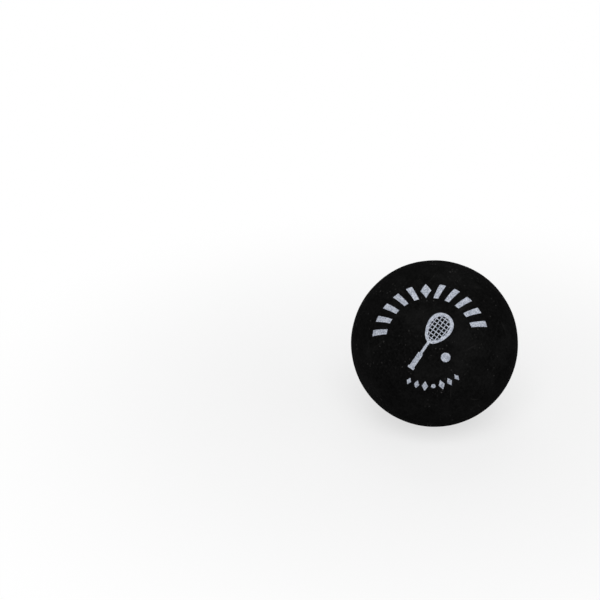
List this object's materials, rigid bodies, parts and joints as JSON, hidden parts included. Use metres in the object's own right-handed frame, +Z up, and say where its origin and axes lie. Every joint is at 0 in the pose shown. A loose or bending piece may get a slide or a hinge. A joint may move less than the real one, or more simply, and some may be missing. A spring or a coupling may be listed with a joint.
{
  "type": "squash ball",
  "caption": "Hollow matt black rubber squash ball of cemented moulded half shells, with a plain silver-grey printed ornament and a yellow speed dot.",
  "frame": {"origin": "centre of the ball", "axes": "+Z up; the printed face looks along -Y, tilted 28.7 degrees up towards +Z; +X is to the right of someone who looks at the print"},
  "size_m": [0.04, 0.04, 0.04],
  "materials": {
    "black_rubber": "matt, buffed",
    "rubber_cement": "matt",
    "silver_ink": "matt, slightly mottled",
    "yellow_ink": "matt"
  },
  "bodies": {
    "root": {"front_half_shell": "black_rubber", "rear_half_shell": "black_rubber", "seam_cement": "rubber_cement", "upper_arc_print": "silver_ink", "centre_emblem_print": "silver_ink", "lower_arc_print": "silver_ink", "speed_dot": "yellow_ink"}
  },
  "joints": []
}
